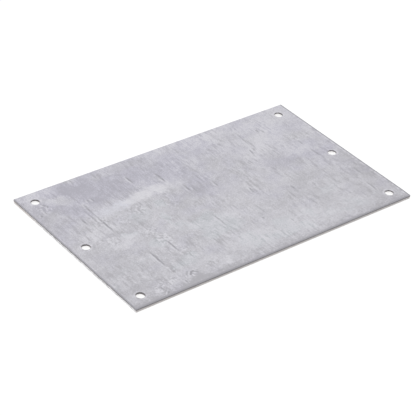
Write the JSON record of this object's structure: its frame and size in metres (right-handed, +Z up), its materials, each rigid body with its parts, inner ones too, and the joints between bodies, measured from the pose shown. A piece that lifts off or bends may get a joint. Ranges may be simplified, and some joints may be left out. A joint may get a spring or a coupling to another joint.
{
  "type": "rectangular cover plate",
  "caption": "Flat rectangular sheet-steel plate that screws down over an opening, through clearance holes at its corners and at the middle of each short end.",
  "frame": {"origin": "centre of the flat underside, midway along the length and the width", "axes": "+X along the length, +Y along the width, +Z up out of the face with the rolled-over edges"},
  "size_m": [0.25, 0.15, 0.003],
  "materials": {
    "galvanised_steel": "dull zinc coating with fine rolling lines across the plate"
  },
  "bodies": {
    "root": {"cover_plate": "galvanised_steel"}
  },
  "joints": []
}
